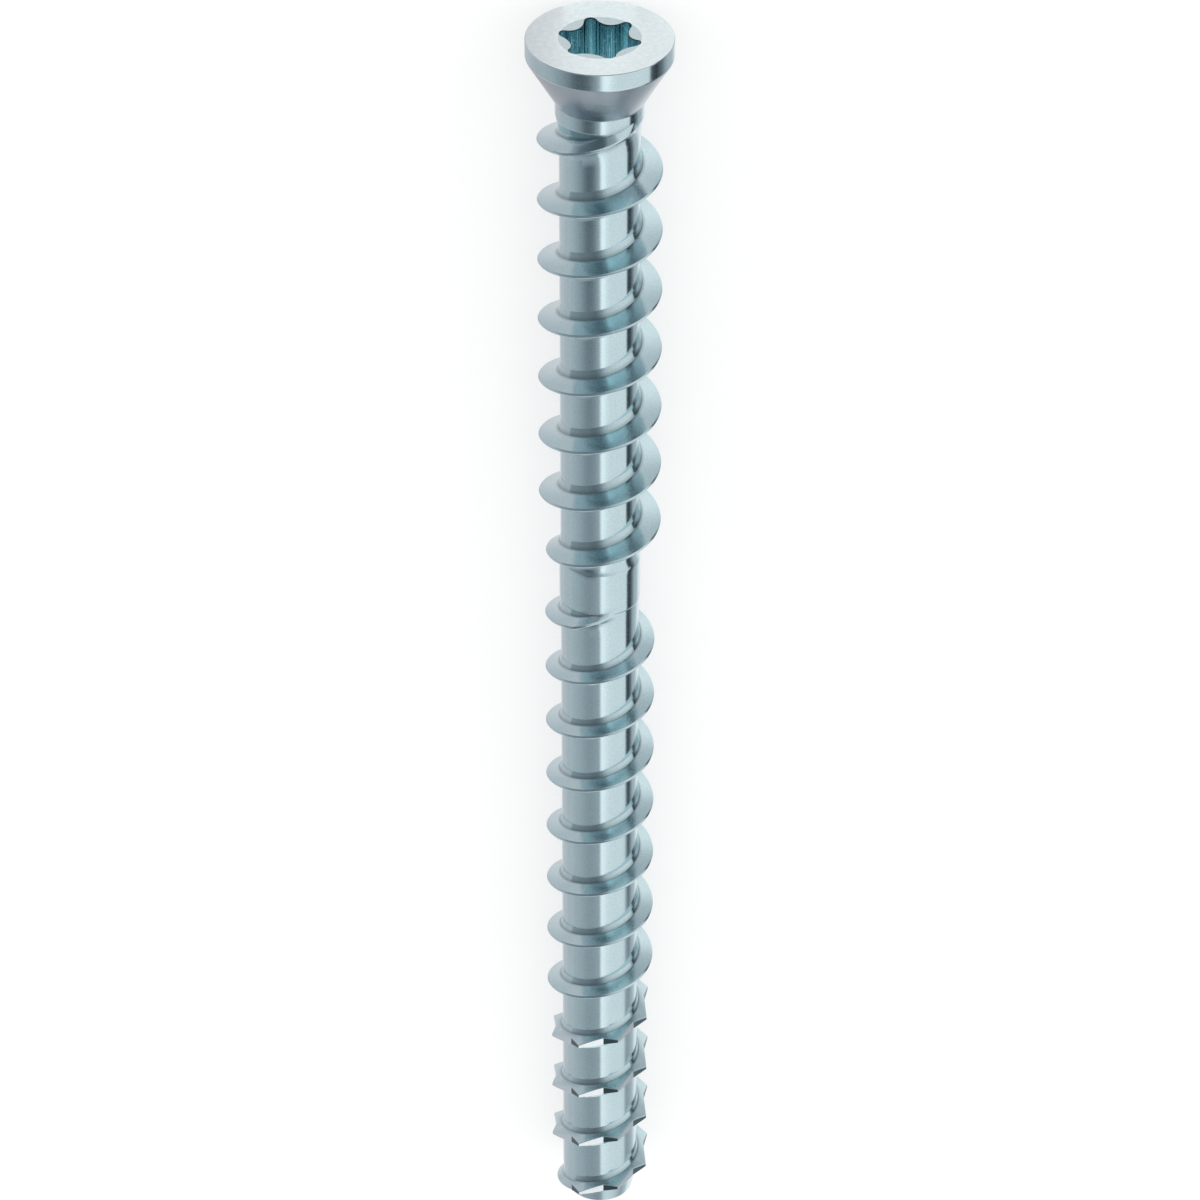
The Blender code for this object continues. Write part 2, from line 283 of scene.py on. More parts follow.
def ridgeRadius(thread, angle, depth, base):
    # Radius of one thread's ridge over the base: the lower of the cut crest and a straight
    # flank as far as the foot, and from the foot a power curve that meets the base level.
    travel, away, rise = nearestTurn(thread, angle, depth)
    share = rise / thread["height"]
    foot = np.maximum(base, coreRadius + thread["footRise"] * share)
    top = np.maximum(coreRadius + rise, foot)
    out = (away - thread["crestHalf"]) / (thread["footHalf"] - thread["crestHalf"])
    flank = top - (top - foot) * out
    cut = crestCut(thread, travel, angle)
    crown = crestForm["crown"] * share * np.minimum(away / thread["crestHalf"], 1.0)
    crest = top - np.where(cut > 0.0, cut, crown)
    left = np.clip((thread["filletHalf"] - away) / (thread["filletHalf"] - thread["footHalf"]), 0.0, 1.0)
    fillet = base + (foot - base) * left ** thread["filletPower"]
    ridge = np.where(away < thread["footHalf"], np.minimum(crest, flank), fillet)
    return np.where(rise > 0.0, ridge, base)


def screwRadius(angle, depth):
    # Radius of the finished side: the highest of the blank and the two ridges.
    base = blankRadius(depth)
    rear = ridgeRadius(rearThread, angle, depth, base)
    front = ridgeRadius(frontThread, angle, depth, base)
    return np.maximum(base, np.maximum(rear, front))


# rows and columns of the skin; shares go from 0 to 1 over the stretch that they divide
skinMesh = {
    "frontFaceColumns": 10,
    "rearFaceColumns": 19,
    "lowFlankShare": 0.85,
    "deepestCutShare": 0.9,  # how far down a flank a tooth's edge row can go
    "leastFlankDrop": 0.05,  # the least height that counts for that, where a ridge is low
    "floorShares": [0.35, 0.7, 0.985],
    "floorEdge": 0.03,
    "wallRows": 7,
    "wallTopShare": 0.06,
    "flareShares": [0.12, 0.9, 1.0],
    "leastFlare": 0.01,
    "faceFrom": 0.2,
    "faceRows": 6,
    "rimEdgeRow": 0.07,
    "rimMiddleFrom": 0.25,
    "rimMiddleRows": 3,
    "coneRows": 6,
    "collarRows": 40,
    "landTopRows": 15,
    "landMiddleRows": 11,
    "landEndFrom": 0.5,
    "landEndStep": 0.05,
    "landEndRows": 9,
    "landBottomRows": 3,
    "tipEdge": 0.03,
    "tipShares": [1.0, 0.66, 0.33],
    "sharpAngle": 12.0,
}


def columnAngles():
    # One column on every notch bottom and tooth tip, and evenly spaced ones between.
    lead = np.linspace(0.0, teeth["frontAngle"], skinMesh["frontFaceColumns"], endpoint=False)
    trail = np.linspace(teeth["frontAngle"], toothAngle, skinMesh["rearFaceColumns"], endpoint=False)
    one = np.concatenate([lead, trail])
    turns = np.arange(teeth["perTurn"])[:, None] * toothAngle
    return (teeth["phase"] + turns + one).ravel()


angles = columnAngles()
columns = len(angles)


# the finishes, in the order of the screw's material slots; the near-black and near-white tooth faces and
# the darker cone are painted shade and a painted highlight
finishNames = ["rolledZinc", "facedZinc", "socketZinc", "paintedShadeZinc", "paintedHighlightZinc", "leadInZinc", "paintedShadeConeZinc"]
slotOf = {name: place for place, name in enumerate(finishNames)}


def gridCells(ids):
    # The four corners of each cell between the rows and columns of a grid of points.
    corners = [ids[:-1, :-1], ids[1:, :-1], ids[1:, 1:], ids[:-1, 1:]]
    return np.stack(corners, axis=-1).reshape(-1, 4)


def rowOffsets(thread, rise, cut):
    # How far from the crest a thread's rows lie, from the middle of the gap above to that of
    # the gap below: on each side of the crest its broken edge, which a cut moves down the
    # flank, the low flank, the foot, half the fillet, its end, and one beyond it.
    room = thread["footHalf"] - thread["crestHalf"]
    drop = np.maximum(rise - thread["footRise"] * rise / thread["height"], skinMesh["leastFlankDrop"])
    edge = thread["crestHalf"] + np.minimum(cut / drop, skinMesh["deepestCutShare"]) * room
    foot = np.full_like(edge, thread["footHalf"])
    fillet = np.full_like(edge, thread["filletHalf"])
    half = np.full_like(edge, pitch / 2)
    low = edge + skinMesh["lowFlankShare"] * (foot - edge)
    onEdge = [edge - crestForm["edge"], edge + crestForm["edge"]]
    side = [*onEdge, low, foot, (foot + fillet) / 2, fillet, (fillet + half) / 2]
    return np.stack([-half] + [-s for s in side[::-1]] + [0 * half] + side, axis=1)


def toothShadeAndHighlight(cut):
    # Slots for the cells beside a crest, from how deep the teeth are cut there. Leading faces take a dark
    # painted shade and trailing faces a pale painted highlight.
    perTooth = skinMesh["frontFaceColumns"] + skinMesh["rearFaceColumns"]
    leading = np.arange(columns) % perTooth < skinMesh["frontFaceColumns"]
    face = np.where(leading, slotOf["paintedShadeZinc"], slotOf["paintedHighlightZinc"])
    return np.where(cut[:, :-1] > 0.0, face, slotOf["rolledZinc"])


class Shell:
    # Gathers the rows of the screw's skin and the faces between them.

    def __init__(self):
        self.points = []
        self.satin = []
        self.wearAndSheen = []
        self.root = []
        self.count = 0
        self.grids = []

    def addPoints(self, angle, radius, depth, satin=0.0, wearAndSheen=0.0, root=0.0):
        # Points in the screw's own axes, from their angle, radius and depth: across, down as it lies, and
        # along it to the head. Satin says how matt they are, the polish value how far they are polished
        # and paler, partly real rubbing and partly a painted highlight, and root how much painted shade
        # darkens them.
        a = np.radians(angle)
        block = np.stack([radius * np.sin(a), -radius * np.cos(a), -depth], axis=-1).reshape(-1, 3)
        ids = np.arange(self.count, self.count + len(block))
        self.points.append(block)
        self.satin.append((satin + 0 * radius).ravel())
        self.wearAndSheen.append((wearAndSheen + 0 * radius).ravel())
        self.root.append((root + 0 * radius).ravel())
        self.count += len(block)
        return ids

    def rings(self, radius, depth, satin=0.0, wearAndSheen=0.0, root=0.0):
        # Closed rings: every row ends on its own first point.
        radius, depth = np.broadcast_arrays(radius, depth)
        around = np.broadcast_to(angles, radius.shape)
        ids = self.addPoints(around, radius, depth, satin, wearAndSheen, root).reshape(radius.shape)
        return np.hstack([ids, ids[:, :1]])

    def centre(self, depth):
        # A pole: one point on the axis, repeated for each column.
        ids = self.addPoints(np.zeros(1), np.zeros(1), np.full(1, depth))
        return np.full((1, columns + 1), ids[0])

    def helix(self, thread, topIds, bottomIds, top, bottom):
        # Rows that follow a thread. A row's depth is the crest's depth plus its offset, held
        # between two rings. The end of a row meets the row one turn on.
        wrapped = np.append(angles, angles[0] + 360.0)
        lead = (thread["startAngle"] - wrapped) / 360.0
        firstTurn = math.floor((top - thread["startDepth"]) / pitch - lead[0] + 0.5)
        lastTurn = math.ceil((bottom - thread["startDepth"]) / pitch - lead[-1] + 0.5)
        turns = np.arange(firstTurn, lastTurn + 1)[:, None]
        travel = (lead[None, :] + turns) * 360.0
        rise = np.where(travel >= 0.0, crestRise(thread, travel), 0.0)
        cut = crestCut(thread, travel, np.broadcast_to(wrapped, travel.shape))
        offsets = rowOffsets(thread, rise, cut)
        perTurn = offsets.shape[1]
        depth = (crestDepth(thread, travel)[:, None, :] + offsets).reshape(-1, columns + 1)
        above = depth <= top + slack
        below = depth >= bottom - slack
        inside = ~(above | below)
        ids = np.where(above, topIds, bottomIds)
        own = inside[:, :columns]
        around = np.broadcast_to(angles, own.shape)[own]
        down = depth[:, :columns][own]
        radius = screwRadius(around, down)
        matt = flankMatt(thread, radius, down)
        middle = perTurn // 2
        row = np.arange(perTurn)
        # the crest rows are polished and paler: partly real rubbing, partly a painted highlight
        crestRows = (row >= middle - 1) & (row <= middle + 1)
        grown = np.minimum(threadFinish["crestWearAndSheenGain"] * rise / thread["height"], 1.0)
        wornAndSheen = threadFinish["crestWearAndSheen"] * crestRows[None, :, None] * grown[:, None, :]
        wornAndSheen = wornAndSheen.reshape(-1, columns + 1)[:, :columns][own]
        # painted shade, darker at the thread roots
        paintedShade = paintedRootShade(around, down)
        ids[:, :columns][own] = self.addPoints(around, radius, down, matt, wornAndSheen, paintedShade)
        ids[perTurn:, columns] = ids[:-perTurn, 0]
        ids[:perTurn, columns] = topIds[0, 0]

        finish = np.full((len(ids), columns), slotOf["rolledZinc"])
        # leading tooth faces get painted shade, trailing ones a painted highlight
        for strip in (middle - 1, middle):
            finish[strip::perTurn] = toothShadeAndHighlight(cut)
        return ids, finish[:-1]

    def addGrid(self, ids, finish):
        # A finish is one slot for the whole grid, or one for each row or cell of faces.
        self.grids.append((ids, finish))

    def faces(self):
        # Each cell of a grid is one face, turned outwards. A cell that has shrunk to a
        # triangle keeps three corners, and one that has shrunk to a line is left out.
        quads = []
        finishes = []
        for ids, finish in self.grids:
            quads.append(gridCells(ids))
            finishes.append(np.broadcast_to(finish, (len(ids) - 1, columns)).ravel())
        quads = np.vstack(quads)
        finishes = np.concatenate(finishes)
        same = quads == np.roll(quads, -1, axis=1)
        crossed = (quads[:, 0] == quads[:, 2]) | (quads[:, 1] == quads[:, 3])
        corners = 4 - same.sum(axis=1)
        keep = (corners >= 3) & ~crossed
        return quads[keep], same[keep], finishes[keep]


socket = {
    "lobes": 6,
    "tipDiameter": 5.54,
    "rootDiameter": 3.96,
    "tipRadius": 0.45,
    "lobeAngle": 75.0,
    "depth": 3.2,
    "leadInDiameter": 5.6,
    "leadInDepth": 0.14,
    "edge": 0.07,
}


def socketRadius(angle):
    # Radius of the lobed outline: near a lobe's middle the far side of its small circle,
    # elsewhere the near side of the wide circle that touches two small ones.
    half = 180.0 / socket["lobes"]
    fold = np.abs(np.mod(angle - socket["lobeAngle"] + half, 2 * half) - half)
    small = socket["tipRadius"]
    centre = socket["tipDiameter"] / 2 - small
    root = socket["rootDiameter"] / 2
    c = math.cos(math.radians(half))
    spread = centre**2 + root**2 - 2 * centre * root * c
    wide = (spread - small**2) / (2 * (small + centre * c - root))
    reach = root + wide
    gap = np.array([reach * c - centre, reach * math.sin(math.radians(half))])
    touch = np.array([centre, 0.0]) + small * gap / np.linalg.norm(gap)
    touchAngle = math.degrees(math.atan2(touch[1], touch[0]))
    t = np.radians(fold)
    w = np.radians(half - fold)
    lobe = centre * np.cos(t) + np.sqrt(np.maximum(small**2 - (centre * np.sin(t)) ** 2, 0.0))
    valley = reach * np.cos(w) - np.sqrt(np.maximum(wide**2 - (reach * np.sin(w)) ** 2, 0.0))
    return np.where(fold < touchAngle, lobe, valley)


def headRows(shell):
    # Rows from the middle of the socket's floor, up its wall, over its broken edge and
    # the lead-in, and out to the rim.
    lobes = socketRadius(angles)[None, :]
    leadIn = socket["leadInDiameter"] / 2
    slope = socket["leadInDepth"] / (leadIn - socket["rootDiameter"] / 2)
    edge = socket["edge"]
    mouth = lobes + edge
    mouthDepth = np.maximum(leadIn - mouth, 0.0) * slope
    floorRadius = lobes * np.array(skinMesh["floorShares"])[:, None]
    floorRows = shell.rings(floorRadius, socket["depth"] + 0 * lobes)
    wallTop = mouthDepth + edge
    wallFoot = socket["depth"] - skinMesh["floorEdge"]
    wallShare = np.append(np.linspace(1.0, skinMesh["wallTopShare"], skinMesh["wallRows"]), 0.0)[:, None]
    wall = shell.rings(lobes + 0 * wallShare, wallTop + (wallFoot - wallTop) * wallShare)
    lip = shell.rings(mouth, mouthDepth)
    ring = np.maximum(leadIn, mouth + skinMesh["leastFlare"])
    flareRadius = mouth + (ring - mouth) * np.array(skinMesh["flareShares"])[:, None]
    flare = shell.rings(flareRadius, np.maximum(leadIn - flareRadius, 0.0) * slope)
    faceRadius = np.linspace(leadIn + skinMesh["faceFrom"], sideLine[1, 1], skinMesh["faceRows"])
    face = shell.rings(faceRadius[:, None] + 0 * lobes, 0 * lobes)
    shell.addGrid(np.vstack([shell.centre(socket["depth"]), floorRows, wall]), slotOf["socketZinc"])
    # the socket's broken edge is painted dark as shade
    shell.addGrid(np.vstack([wall[-1:], lip]), slotOf["paintedShadeZinc"])
    shell.addGrid(np.vstack([lip, flare]), slotOf["leadInZinc"])
    shell.addGrid(np.vstack([flare[-1:], face]), slotOf["facedZinc"])
    return face[-1:]


def sideRings(shell, depths):
    # Closed rings on the finished side at the given depths. The two edges of the rim are polished and
    # paler: partly real rubbing, partly a painted highlight.
    depth = np.asarray(depths, float)[:, None] + 0 * angles[None, :]
    around = np.broadcast_to(angles, depth.shape)
    radius = screwRadius(around, depth)
    matt = flankMatt(rearThread, radius, depth)
    wornAndSheen = (depth <= sideLine[2, 0] + slack) | (np.abs(depth - sideLine[3, 0]) < slack)
    return shell.rings(radius, depth, matt, wornAndSheen * 1.0, paintedRootShade(around, depth))


def buildSkin():
    # All the grids of the skin, from the middle of the socket's floor to that of the tip.
    # Each starts on the last row of the one before it.
    shell = Shell()
    faceEdge = headRows(shell)

    # head, collar and the start of the rear thread
    broken = blank["brokenEdge"]
    topRing = collarEnd + broken
    rimTop, rimFoot = sideLine[2, 0], sideLine[3, 0]
    edgeRow, middleFrom = skinMesh["rimEdgeRow"], skinMesh["rimMiddleFrom"]
    headDepths = np.concatenate([
        [rimTop, rimTop + edgeRow],
        np.linspace(rimTop + middleFrom, rimFoot - middleFrom, skinMesh["rimMiddleRows"]),
        [rimFoot - edgeRow, rimFoot, sideLine[4, 0]],
        np.linspace(sideLine[4, 0], sideLine[5, 0], skinMesh["coneRows"])[1:],
        sideLine[6:7, 0],
        np.linspace(coneEnd + broken, collarEnd - broken, skinMesh["collarRows"])[1:],
        [topRing],
    ])
    head = sideRings(shell, headDepths)
    upper = np.append(0.0, headDepths[:-1])
    # the cone takes a darker copy of the zinc: painted shade
    onCone = (upper > rimFoot + slack) & (upper < sideLine[6, 0] - slack)
    headFinish = np.where(onCone, slotOf["paintedShadeConeZinc"], slotOf["rolledZinc"])
    shell.addGrid(np.vstack([faceEdge, head]), headFinish[:, None])

    # the plain land with the two thread ends that run into it
    landTop = blank["landStart"] - blank["landRamp"] - broken
    landBottom = landEnd + blank["landStep"] + broken
    endFrom = skinMesh["landEndFrom"]
    fineFrom = landEnd - endFrom + skinMesh["landEndStep"]
    landDepths = np.concatenate([
        np.linspace(landTop, blank["landStart"] - broken, skinMesh["landTopRows"]),
        np.linspace(blank["landStart"] + broken, landEnd - endFrom, skinMesh["landMiddleRows"]),
        np.linspace(fineFrom, landEnd - broken, skinMesh["landEndRows"]),
        np.linspace(landEnd + broken, landBottom, skinMesh["landBottomRows"]),
    ])
    land = sideRings(shell, np.unique(landDepths))
    shell.addGrid(land, slotOf["rolledZinc"])
    shell.addGrid(*shell.helix(rearThread, head[-1:], land[:1], topRing, landTop))

    # the front thread and the flat end
    edge = skinMesh["tipEdge"]
    endDepth = blank["length"] - edge
    last = sideRings(shell, [endDepth])
    shell.addGrid(*shell.helix(frontThread, land[-1:], last, landBottom, endDepth))
    rim = screwRadius(angles, np.full(columns, blank["length"]))[None, :]
    flatRadius = (rim - edge) * np.array(skinMesh["tipShares"])[:, None]
    flat = shell.rings(flatRadius, blank["length"] + 0 * rim)
    shell.addGrid(np.vstack([last, flat, shell.centre(blank["length"])]), slotOf["rolledZinc"])
    return shell


def restingPlace():
    # The screw's own axis, tipped onto its side, leant on its head's rim and put where
    # the rim's lower edge meets the ground, in line with the solid's end.
    lean = math.radians(blank["lean"])
    side = Matrix.Rotation(-math.pi / 2, 4, "X") @ Matrix.Rotation(-math.pi / 2, 4, "Y")
    low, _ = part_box("concrete_screw")
    across = low.x / mm + headRadius * math.sin(lean)
    up = headRadius * math.cos(lean) + blank["rimHeight"] * math.sin(lean)
    place = Matrix.Translation((across * mm, 0.0, up * mm))
    return place @ Matrix.Rotation(lean, 4, "Y") @ side


resting = restingPlace()


def buildScrew(materials):
    # The skin as one mesh, with its points turned and moved to where the screw rests.
    shell = buildSkin()
    quads, same, finishes = shell.faces()
    points = np.vstack(shell.points) * mm
    turn = np.array(resting.to_3x3())
    points = points @ turn.T + np.array(resting.translation)

    # corners of a face are its cell's, without the second of two that are the same
    corner = ~same
    loops = quads[corner]
    counts = corner.sum(axis=1)
    mesh = bpy.data.meshes.new("rolledScrew")
    mesh.vertices.add(len(points))
    mesh.vertices.foreach_set("co", points.astype(np.float32).ravel())
    mesh.loops.add(len(loops))
    mesh.loops.foreach_set("vertex_index", loops.astype(np.int32))
    mesh.polygons.add(len(counts))
    starts = np.concatenate([[0], np.cumsum(counts)[:-1]])
    mesh.polygons.foreach_set("loop_start", starts.astype(np.int32))
    mesh.polygons.foreach_set("material_index", finishes.astype(np.int32))
    mesh.update(calc_edges=True)
    mesh.validate()
    # the root layer holds painted shade at the thread roots
    for name, values in (("satin", shell.satin), ("wearAndSheen", shell.wearAndSheen), ("root", shell.root)):
        layer = mesh.attributes.new(name, "FLOAT", "POINT")
        layer.data.foreach_set("value", np.concatenate(values).astype(np.float32))
    mesh.polygons.foreach_set("use_smooth", np.ones(len(mesh.polygons), bool))
    mesh.set_sharp_from_angle(angle=math.radians(skinMesh["sharpAngle"]))
    for material in materials:
        mesh.materials.append(material)
    screw = bpy.data.objects.new("rolled_screw", mesh)
    bpy.context.scene.collection.objects.link(screw)
    print("screw skin:", len(points), "points,", int((counts - 2).sum()), "triangles")
    return screw


# what all the zinc finishes share
plating = {
    "noiseLow": 0.3,
    "noiseHigh": 0.7,
    "cloudDetail": 4.0,
    "grainDetail": 3.0,
    "lineDetail": 2.0,
    "drawnOut": 0.02,
    "patchSize": 0.6,
    "patchHigh": 0.6,
    "patchLeast": 0.55,
}

# each finish starts from this one and changes what differs; sizes are millimetres
plainZinc = {
    "color": (0.63, 0.79, 0.83),
    "rootShadeDepth": 0.0,
    "roughness": 0.12,
    "satinRoughness": 0.0,
    "grainSize": 0.12,
    "grainDepth": 0.11,
    "grainRoughness": 0.03,
    "grainBump": 0.0004,
    "lineSize": 0.06,
    "lineRoughness": 0.03,
    "lineBump": 0.0007,
    "linesAlong": False,
    "cloudSize": 2.5,
    "cloudDepth": 0.04,
    # paler colour of polished edges: partly real rubbing, partly a painted highlight
    "wornAndSheenColor": (0.8, 0.88, 0.9),
    "wornRoughness": 0.0,
}

looks = {
    "rolledZinc": {
        **plainZinc,
        # painted shade in the thread roots
        "rootShadeDepth": 0.4,
        "satinRoughness": 0.13,
        "wornRoughness": 0.03,
    },
    # painted shade: a darker copy of the zinc for the cone
    "paintedShadeConeZinc": {
        **plainZinc,
        "color": (0.45, 0.52, 0.565),
        "roughness": 0.2,
        "wornRoughness": 0.03,
    },
    "facedZinc": {
        **plainZinc,
        "color": (0.9, 0.985, 1.0),
        "roughness": 0.45,
        "grainSize": 0.11,
        "grainDepth": 0.08,
        "grainRoughness": 0.1,
        "grainBump": 0.008,
        "lineRoughness": 0.02,
        "lineBump": 0.0003,
        "cloudSize": 0.35,
        "cloudDepth": 0.1,
        "wornAndSheenColor": (0.9, 0.94, 0.95),
        "wornRoughness": -0.1,
    },
    "leadInZinc": {
        **plainZinc,
        "color": (0.56, 0.66, 0.69),
        "roughness": 0.3,
        "grainSize": 0.11,
        "grainDepth": 0.06,
        "grainRoughness": 0.06,
        "grainBump": 0.002,
        "lineBump": 0.0003,
        "cloudSize": 0.35,
        "cloudDepth": 0.06,
        "wornAndSheenColor": (0.9, 0.94, 0.95),
    },
    "socketZinc": {
        **plainZinc,
        "color": (0.7, 0.95, 1.0),
        "roughness": 0.06,
        "grainSize": 0.2,
        "grainDepth": 0.05,
        "grainBump": 0.0003,
        "lineSize": 0.12,
        "lineRoughness": 0.05,
        "lineBump": 0.002,
        "linesAlong": True,
        "cloudSize": 0.5,
        "cloudDepth": 0.42,
    },
    # painted shade: near-black zinc on the leading tooth faces and the socket's broken edge
    "paintedShadeZinc": {
        **plainZinc,
        "color": (0.04, 0.085, 0.1),
        "roughness": 0.3,
        "grainSize": 0.06,
        "grainDepth": 0.1,
        "grainRoughness": 0.06,
        "grainBump": 0.001,
        "lineSize": 0.05,
        "lineRoughness": 0.05,
        "lineBump": 0.0006,
        "cloudSize": 0.5,
        "cloudDepth": 0.1,
        "wornAndSheenColor": (0.7, 0.8, 0.84),
    },
    # painted highlight: near-white zinc on the trailing tooth faces
    "paintedHighlightZinc": {
        **plainZinc,
        "color": (0.93, 0.98, 1.0),
        "roughness": 0.22,
        "grainSize": 0.06,
        "grainDepth": 0.05,
        "grainRoughness": 0.06,
        "grainBump": 0.001,
        "lineSize": 0.05,
        "lineRoughness": 0.05,
        "lineBump": 0.0006,
        "cloudSize": 0.5,
        "cloudDepth": 0.06,
        "wornAndSheenColor": (0.95, 0.97, 0.98),
    },
}


class Nodes:
    # Short ways to add nodes to one material. A value may be a number or a socket.

    def __init__(self, tree):
        self.tree = tree

    def join(self, value, socketIn):
        if isinstance(value, bpy.types.NodeSocket):
            self.tree.links.new(value, socketIn)
        else:
            socketIn.default_value = value

    def math(self, operation, first, second=0.0):
        node = self.tree.nodes.new("ShaderNodeMath")
        node.operation = operation
        self.join(first, node.inputs[0])
        self.join(second, node.inputs[1])
        return node.outputs["Value"]

    def vector(self, operation, first, second=(0.0, 0.0, 0.0)):
        node = self.tree.nodes.new("ShaderNodeVectorMath")
        node.operation = operation
        self.join(first, node.inputs[0])
        self.join(second, node.inputs[1])
        return node.outputs["Value" if operation == "LENGTH" else "Vector"]

    def spread(self, value, low, high, newLow, newHigh):
        node = self.tree.nodes.new("ShaderNodeMapRange")
        node.inputs["From Min"].default_value = low
        node.inputs["From Max"].default_value = high
        node.inputs["To Min"].default_value = newLow
        node.inputs["To Max"].default_value = newHigh
        self.join(value, node.inputs["Value"])
        return node.outputs["Result"]

    def fromNoise(self, noise, newLow, newHigh):
        # Noise rarely leaves its middle range, so that range is spread over the new one.
        return self.spread(noise, plating["noiseLow"], plating["noiseHigh"], newLow, newHigh)

    def noise(self, vector, size, detail):
        node = self.tree.nodes.new("ShaderNodeTexNoise")
        node.inputs["Scale"].default_value = 1.0 / size
        node.inputs["Detail"].default_value = detail
        self.join(vector, node.inputs["Vector"])
        return node.outputs["Fac"]

    def attribute(self, name):
        node = self.tree.nodes.new("ShaderNodeAttribute")
        node.attribute_name = name
        return node.outputs["Fac"]

    def axisPlace(self):
        # Object coordinates turned into the screw's own axes, in millimetres.
        place = self.tree.nodes.new("ShaderNodeTexCoord")
        turned = self.tree.nodes.new("ShaderNodeMapping")
        back = resting.inverted()
        turned.inputs["Scale"].default_value = (1.0 / mm, 1.0 / mm, 1.0 / mm)
        turned.inputs["Rotation"].default_value = back.to_euler("XYZ")
        turned.inputs["Location"].default_value = back.translation / mm
        self.join(place.outputs["Object"], turned.inputs["Vector"])
        return turned.outputs["Vector"]

    def roundLines(self, place):
        # A point's depth and distance from the axis, so that noise there makes rings.
        split = self.tree.nodes.new("ShaderNodeSeparateXYZ")
        self.join(place, split.inputs["Vector"])
        flat = self.vector("MULTIPLY", place, (1.0, 1.0, 0.0))
        node = self.tree.nodes.new("ShaderNodeCombineXYZ")
        self.join(self.vector("LENGTH", flat), node.inputs["X"])
        self.join(split.outputs["Z"], node.inputs["Y"])
        self.join(self.math("MULTIPLY", split.outputs["X"], plating["drawnOut"]), node.inputs["Z"])
        return node.outputs["Vector"]


def zinc(name):
    # Plated steel. Its colour has clouds, drawn out along the axis if the lines are, and is paler on
    # polished edges, which is partly real rubbing and partly a painted highlight, and darker at a thread's
    # root, which is painted shade. Fine lines, round the axis or along it, and a grain go into its
    # roughness and bump.
    look = looks[name]
    material = bpy.data.materials.new(name)
    material.use_nodes = True
    nodes = Nodes(material.node_tree)
    shader = material.node_tree.nodes["Principled BSDF"]
    shader.inputs["Metallic"].default_value = 1.0
    place = nodes.axisPlace()
    wearAndSheen = nodes.attribute("wearAndSheen")

    along = (1.0, 1.0, plating["drawnOut"])
    drawn = nodes.vector("MULTIPLY", place, along) if look["linesAlong"] else place
    clouds = nodes.noise(drawn, look["cloudSize"], plating["cloudDetail"])
    grain = nodes.noise(place, look["grainSize"], plating["grainDetail"])
    tone = nodes.fromNoise(clouds, 1.0 - look["cloudDepth"], 1.0)
    speckle = nodes.fromNoise(grain, 1.0 - look["grainDepth"] / 2, 1.0 + look["grainDepth"] / 2)
    tone = nodes.math("MULTIPLY", tone, speckle)
    # painted shade: the colour darkens at a thread's root
    paintedShade = nodes.spread(nodes.attribute("root"), 0.0, 1.0, 1.0, 1.0 - look["rootShadeDepth"])
    tone = nodes.math("MULTIPLY", tone, paintedShade)
    shade = material.node_tree.nodes.new("ShaderNodeVectorMath")
    shade.operation = "SCALE"
    shade.inputs[0].default_value = look["color"]
    nodes.join(tone, shade.inputs["Scale"])
    # paler on polished edges: partly real rubbing, partly a painted highlight
    wornAndSheen = material.node_tree.nodes.new("ShaderNodeMix")
    wornAndSheen.data_type = "RGBA"
    patches = nodes.noise(place, plating["patchSize"], plating["grainDetail"])
    patchy = nodes.spread(patches, plating["noiseLow"], plating["patchHigh"], plating["patchLeast"], 1.0)
    nodes.join(nodes.math("MULTIPLY", wearAndSheen, patchy), wornAndSheen.inputs["Factor"])
    nodes.join(shade.outputs["Vector"], wornAndSheen.inputs["A"])
    wornAndSheen.inputs["B"].default_value = (*look["wornAndSheenColor"], 1.0)
    nodes.join(wornAndSheen.outputs["Result"], shader.inputs["Base Color"])

    lineVector = drawn if look["linesAlong"] else nodes.roundLines(place)
    lines = nodes.noise(lineVector, look["lineSize"], plating["lineDetail"])
    rough = nodes.fromNoise(grain, -look["grainRoughness"], look["grainRoughness"])
    lined = nodes.fromNoise(lines, -look["lineRoughness"], look["lineRoughness"])
    matt = nodes.math("MULTIPLY", nodes.attribute("satin"), look["satinRoughness"])
    polished = nodes.math("MULTIPLY", wearAndSheen, look["wornRoughness"])
    base = nodes.math("ADD", nodes.math("ADD", rough, lined), nodes.math("ADD", matt, polished))
    nodes.join(nodes.math("ADD", base, look["roughness"]), shader.inputs["Roughness"])

    height = nodes.math("MULTIPLY", grain, look["grainBump"])
    height = nodes.math("ADD", height, nodes.math("MULTIPLY", lines, look["lineBump"]))
    bump = material.node_tree.nodes.new("ShaderNodeBump")
    bump.inputs["Distance"].default_value = mm
    nodes.join(height, bump.inputs["Height"])
    nodes.join(bump.outputs["Normal"], shader.inputs["Normal"])
    return material


screw = buildScrew([zinc(name) for name in finishNames])
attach(screw, "root")
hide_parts("concrete_screw")
print("screw placed")

# studio
studio = {
    "floorColor": (0.5, 0.5, 0.5),
    "floorRoughness": 0.9,
    "floorGlow": 0.55,
    "floorSize": 4.0,
    "skyStrength": 1.0,
}

